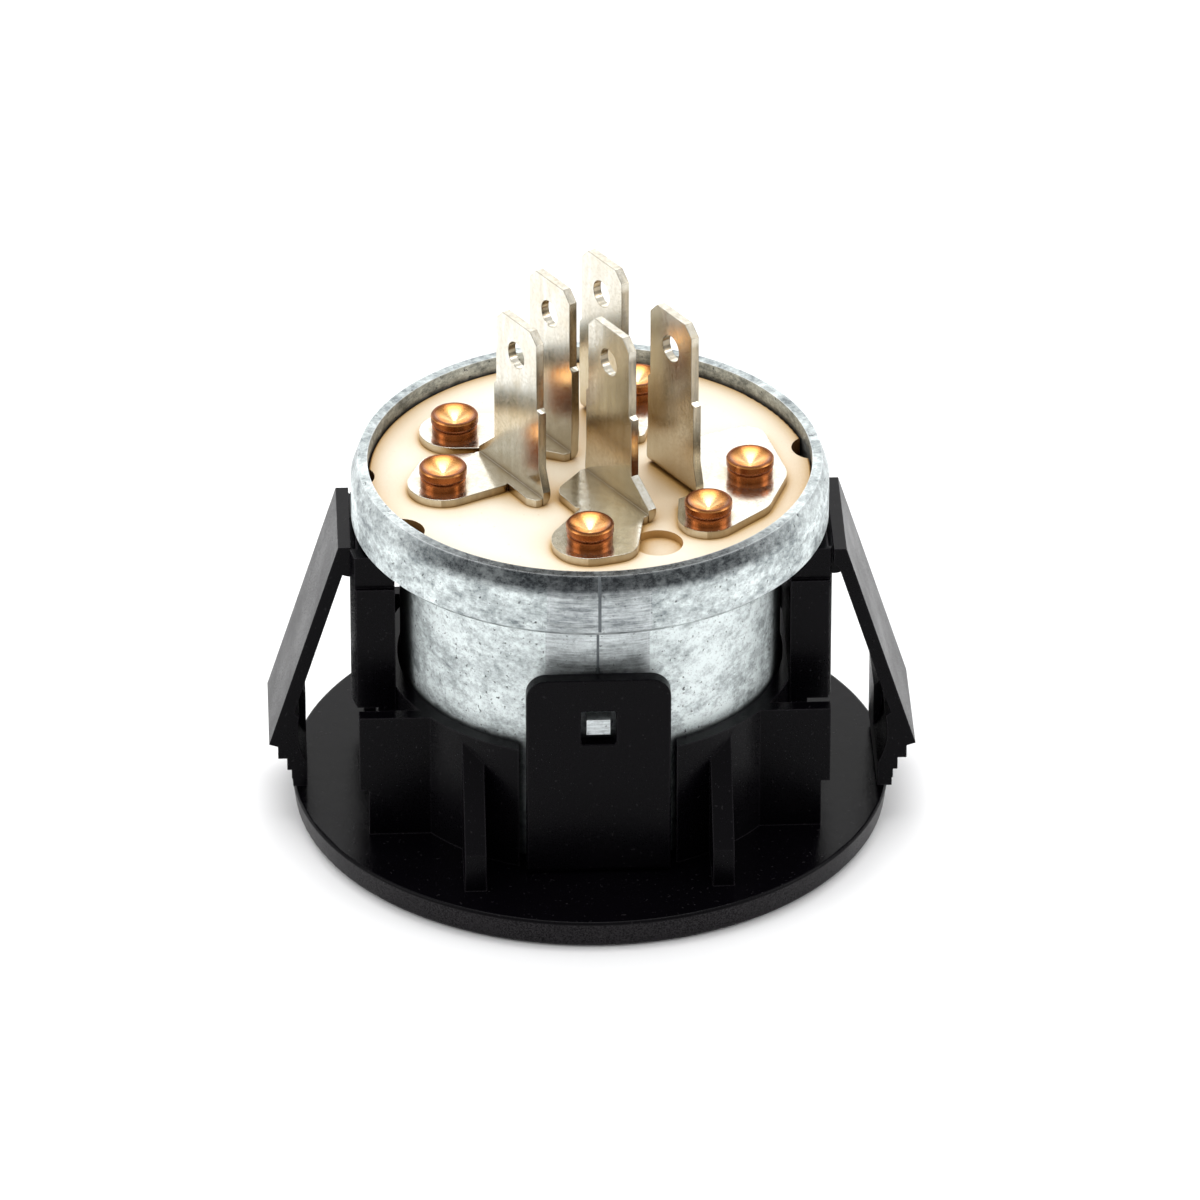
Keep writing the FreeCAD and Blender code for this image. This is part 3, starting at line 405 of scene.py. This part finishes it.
def seal_rubber():
    """Matte black rubber."""
    m = Material("seal_rubber")
    grain = m.noise(0.15 * MM, detail=3.0)
    cloud = m.noise(1.5 * MM)
    m.set(Base_Color=m.mix(cloud, (0.012, 0.012, 0.012, 1.0), (0.03, 0.03, 0.03, 1.0)))
    m.set(Roughness=m.span(grain, 0.3, 0.7, 0.6, 0.8))
    m.bump((grain, 0.01 * MM))
    return m.material


def rotor_nylon():
    """Natural nylon, a little translucent."""
    m = Material("rotor_nylon")
    grain = m.noise(0.2 * MM, detail=3.0)
    cloud = m.noise(3.0 * MM)
    m.set(Base_Color=m.mix(cloud, (0.66, 0.65, 0.58, 1.0), (0.78, 0.77, 0.70, 1.0)))
    m.set(Roughness=m.span(grain, 0.3, 0.7, 0.35, 0.5), Subsurface_Weight=0.1)
    m.bump((grain, 0.008 * MM), (cloud, 0.02 * MM))
    return m.material


FINISHES = {
    "black_nylon": black_nylon(),
    "zinc_casting": zinc_casting(),
    "cream_phenolic": cream_phenolic(),
    "plated_brass": plated_brass(),
    "copper_rivet": copper_rivet(),
    "zinc_plug": plain_metal("zinc_plug", (0.42, 0.43, 0.44), (0.62, 0.63, 0.64), 0.35),
    "steel_cap": plain_metal("steel_cap", (0.58, 0.58, 0.59), (0.78, 0.78, 0.79), 0.2, (12.0, 0.6, 1.0)),
    "spring_steel": plain_metal("spring_steel", (0.45, 0.45, 0.47), (0.7, 0.7, 0.72), 0.22),
    "wafer_brass": plain_metal("wafer_brass", (0.62, 0.46, 0.2), (0.8, 0.64, 0.32), 0.28),
    "seal_rubber": seal_rubber(),
    "rotor_nylon": rotor_nylon(),
}
SLOT_OF = {entry["node"]: entry["material_slot"] for entry in frame["record"]["subparts"]}
BODY_OF = {
    node: body
    for body, nodes in frame["record"]["behaviour"]["bodies"].items()
    for node in nodes
}


# Pieces --------------------------------------------------------------------------------------

def finish_mesh(mesh, slot):
    """Give a mesh its slot's material, and smooth shading between its sharp edges."""
    mesh.materials.clear()
    mesh.materials.append(FINISHES[slot])
    for polygon in mesh.polygons:
        polygon.material_index = 0
    mesh.shade_smooth()
    mesh.set_sharp_from_angle(angle=SHARP_FROM)


def put_on(piece, body):
    """Make a piece ride on a body."""
    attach(piece, body)


def make_object(name, mesh):
    piece = bpy.data.objects.new(name, mesh)
    bpy.context.scene.collection.objects.link(piece)
    return piece


def apply_modifiers(piece):
    bpy.context.view_layer.update()
    graph = bpy.context.evaluated_depsgraph_get()
    mesh = bpy.data.meshes.new_from_object(piece.evaluated_get(graph))
    piece.modifiers.clear()
    old = piece.data
    piece.data = mesh
    bpy.data.meshes.remove(old)


def rounded_copy(node, width):
    """Put a copy of a CAD node's mesh, with its edges rounded, in the node's stead."""
    mesh = frame["nodes"][node].data.copy()
    work = bmesh.new()
    work.from_mesh(mesh)
    bmesh.ops.remove_doubles(work, verts=work.verts, dist=WELD_DISTANCE)
    bmesh.ops.dissolve_limit(
        work, angle_limit=FLAT_WITHIN, verts=work.verts, edges=work.edges, delimit={"NORMAL"})
    work.to_mesh(mesh)
    work.free()
    finish_mesh(mesh, SLOT_OF[node])
    piece = make_object(node + "_piece", mesh)
    bevel = piece.modifiers.new("rounding", "BEVEL")
    bevel.width = width
    bevel.segments = ROUNDING_STEPS
    bevel.limit_method = "ANGLE"
    bevel.angle_limit = ROUNDED_FROM
    bevel.use_clamp_overlap = True
    bevel.harden_normals = True
    bevel.miter_outer = "MITER_ARC"
    weighting = piece.modifiers.new("flat_faces_lead", "WEIGHTED_NORMAL")
    weighting.keep_sharp = True
    apply_modifiers(piece)
    put_on(piece, BODY_OF[node])
    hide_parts(node)


ROUNDED = {
    "bezel_body": MOULDED_EDGE, "right_snap_arm": MOULDED_EDGE, "left_snap_arm": MOULDED_EDGE,
    "front_latch_tab": MOULDED_EDGE, "rear_latch_tab": MOULDED_EDGE, "switch_housing": CAST_EDGE,
    "terminal_plate": SMALL_EDGE, "face_cap": SMALL_EDGE, "lock_plug": SMALL_EDGE,
}
for number in range(1, 6):
    ROUNDED["blade_terminal_%d" % number] = BLADE_EDGE

for node, obj in frame["nodes"].items():
    if node in ROUNDED:
        rounded_copy(node, ROUNDED[node])
    else:
        obj.data.materials.clear()
        obj.data.materials.append(FINISHES[SLOT_OF[node]])


# Details of the casting and the face, too fine for the CAD -----------------------------------

def polar(radius, angle, height):
    return Vector((radius * math.cos(angle), radius * math.sin(angle), height))


def closed_mesh(name, rings):
    """A closed solid through rings of points, one after the other, capped at both ends."""
    work = bmesh.new()
    loops = [[work.verts.new(point) for point in ring] for ring in rings]
    count = len(rings[0])
    for first, second in zip(loops, loops[1:]):
        for step in range(count):
            after = (step + 1) % count
            work.faces.new((first[step], first[after], second[after], second[step]))
    work.faces.new(loops[0])
    work.faces.new(loops[-1])
    bmesh.ops.recalc_face_normals(work, faces=work.faces)
    mesh = bpy.data.meshes.new(name)
    work.to_mesh(mesh)
    work.free()
    return mesh


def curved_pad(name, radius, from_angle, to_angle, low, high, proud):
    """A thin pad with sloped edges on one of the casting's cylinders."""
    slope = proud * 1.5
    rings = []
    for step in range(PAD_STEPS + 1):
        share = step / PAD_STEPS
        angle = from_angle + (to_angle - from_angle) * share
        height = proud * 0.15 if step in (0, PAD_STEPS) else proud
        rings.append([
            polar(radius - PAD_SINK, angle, low), polar(radius, angle, low),
            polar(radius + height, angle, low + slope), polar(radius + height, angle, high - slope),
            polar(radius, angle, high), polar(radius - PAD_SINK, angle, high),
        ])
    piece = make_object(name, closed_mesh(name, rings))
    finish_mesh(piece.data, "zinc_casting")
    put_on(piece, "base")


def seam(name, angle, path, half_width, proud):
    """A fine ridge down the casting, through (radius, height) points, dark grey as painted shade."""
    turn = half_width / path[0][0]
    rings = []
    for radius, height in path:
        rings.append([
            polar(radius - PAD_SINK, angle - turn, height), polar(radius, angle - turn, height),
            polar(radius + proud, angle, height),
            polar(radius, angle + turn, height), polar(radius - PAD_SINK, angle + turn, height),
        ])
    piece = make_object(name, closed_mesh(name, rings))
    finish_mesh(piece.data, "zinc_casting")
    piece.data.materials[0] = SEAM_SHADE_FINISH
    put_on(piece, "base")


# painted shade: the seams get a dark grey metal for the shade in their groove
SEAM_SHADE_FINISH = plain_metal("zinc_seam_shade", (0.10, 0.11, 0.12), (0.22, 0.24, 0.25), 0.6)
_, high_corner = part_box("switch_housing")
band_radius = high_corner.x
lip_top = high_corner.z
FRONT = math.radians(-90.0)
pad_turn = PAD_HALF_WIDTH / band_radius
curved_pad("front_band_pad", band_radius, FRONT - pad_turn, FRONT + pad_turn,
           BAND_LOW, BAND_HIGH, PAD_PROUD)
pad_turn = PAD_HALF_WIDTH / BARREL_RADIUS
curved_pad("front_barrel_pad", BARREL_RADIUS, FRONT - pad_turn, FRONT + pad_turn,
           BAND_LOW - BARREL_PAD_DROP[0], BAND_LOW - BARREL_PAD_DROP[1], PAD_PROUD)
curved_pad("gate_boss", band_radius,
           FRONT - BOSS_SPAN[0] / band_radius, FRONT - BOSS_SPAN[1] / band_radius,
           BAND_LOW + BOSS_RISE[0], BAND_LOW + BOSS_RISE[1], BOSS_PROUD)
upper_path = [
    (band_radius - LIP_SEAM_INSET, lip_top - PAD_PROUD),
    (band_radius + PAD_PROUD, BAND_HIGH),
    (band_radius + PAD_PROUD, BAND_LOW + BAND_SEAM_RISE),
]
lower_path = [(BARREL_RADIUS + PAD_PROUD, BAND_LOW - drop) for drop in BARREL_SEAM_DROP]
for name, angle in (("front", FRONT), ("rear", -FRONT)):
    seam(name + "_band_seam", angle, upper_path, BAND_SEAM_HALF_WIDTH, SEAM_PROUD)
    seam(name + "_barrel_seam", angle, lower_path, BARREL_SEAM_HALF_WIDTH, SEAM_PROUD)


def face_tick(name, angle):
    """A raised mark in the face's dish at one of the key's positions."""
    root = FACE_FLOOR + PAD_SINK
    crown = FACE_FLOOR - TICK_PROUD
    profile = ((-1.0, root), (-TICK_TOP_SHARE, crown), (TICK_TOP_SHARE, crown), (1.0, root))
    rings = []
    for radius in TICK_RADII:
        turn = TICK_HALF_WIDTH / radius
        rings.append([polar(radius, angle + side * turn, height) for side, height in profile])
    piece = make_object(name, closed_mesh(name, rings))
    finish_mesh(piece.data, "black_nylon")
    put_on(piece, "base")


for number, degrees in enumerate(KEY_POSITIONS_DEGREES, start=1):
    face_tick("face_tick_%d" % number, math.radians(90.0 + degrees))


# Camera, floor and light ---------------------------------------------------------------------

def aim(obj, target):
    obj.rotation_euler = (target - obj.location).to_track_quat("-Z", "Y").to_euler()


def make_camera():
    data = bpy.data.cameras.new("camera")
    data.lens = CAMERA_LENS_MM
    data.sensor_width = CAMERA_SENSOR_MM
    data.clip_start = 0.01
    camera = make_object("camera", data)
    back = Vector((
        math.sin(CAMERA_AZIMUTH) * math.cos(CAMERA_ELEVATION),
        -math.cos(CAMERA_AZIMUTH) * math.cos(CAMERA_ELEVATION),
        math.sin(CAMERA_ELEVATION),
    ))
    camera.location = CAMERA_TARGET + back * CAMERA_DISTANCE
    aim(camera, CAMERA_TARGET)
    bpy.context.scene.camera = camera


def make_light(name, place, size, power):
    data = bpy.data.lights.new(name, "AREA")
    data.shape = "DISK"
    data.size = size
    data.energy = power
    light = make_object(name, data)
    light.location = place
    aim(light, SOFTBOX_TARGET)


def make_floor():
    mesh = bpy.data.meshes.new("floor")
    corners = [(x * FLOOR_HALF, y * FLOOR_HALF, 0.0) for x, y in ((-1, -1), (1, -1), (1, 1), (-1, 1))]
    mesh.from_pydata(corners, [], [(0, 1, 2, 3)])
    floor = make_object("floor", mesh)
    paper = Material("white_table")
    paper.set(Base_Color=(0.92, 0.92, 0.925, 1.0))
    paper.set(Roughness=paper.span(paper.noise(2.0 * MM), 0.3, 0.7, 0.5, 0.6))
    mesh.materials.append(paper.material)


def make_world():
    """A white light tent that is dark low in front, where the camera looks in."""
    world = bpy.data.worlds.new("studio")
    world.use_nodes = True
    tree = world.node_tree
    direction = tree.nodes.new("ShaderNodeTexCoord").outputs["Generated"]
    split = tree.nodes.new("ShaderNodeSeparateXYZ")
    tree.links.new(direction, split.inputs[0])

    def span(value, low, high, to_low=0.0, to_high=1.0):
        node = tree.nodes.new("ShaderNodeMapRange")
        node.interpolation_type = "SMOOTHSTEP"
        tree.links.new(value, node.inputs["Value"])
        limits = {"From Min": low, "From Max": high, "To Min": to_low, "To Max": to_high}
        for name, number in limits.items():
            node.inputs[name].default_value = number
        return node.outputs["Result"]

    def multiply(first, second):
        node = tree.nodes.new("ShaderNodeMath")
        node.operation = "MULTIPLY"
        tree.links.new(first, node.inputs[0])
        tree.links.new(second, node.inputs[1])
        return node.outputs[0]

    front = span(split.outputs["Y"], *OPENING_FRONT)
    low = span(split.outputs["Z"], FRONT_DARK_TOP, FRONT_DARK_TOP * 0.4)
    opening = span(multiply(front, low), 0.0, 1.0, 1.0, FRONT_DARK_LEVEL)
    sky = span(split.outputs["Z"], 0.0, 0.9, HORIZON_LEVEL, ZENITH_LEVEL)
    panel = multiply(span(split.outputs["Y"], *PANEL_BACK), span(split.outputs["Z"], *PANEL_HEIGHT))
    sky = multiply(sky, span(panel, 0.0, 1.0, 1.0, BACK_PANEL_LEVEL))
    background = tree.nodes["Background"]
    background.inputs["Color"].default_value = (1.0, 1.0, 1.0, 1.0)
    tree.links.new(multiply(opening, sky), background.inputs["Strength"])
    bpy.context.scene.world = world


make_camera()
make_floor()
make_world()
for softbox in SOFTBOXES:
    make_light(*softbox)
bpy.context.scene.view_settings.view_transform = "Standard"
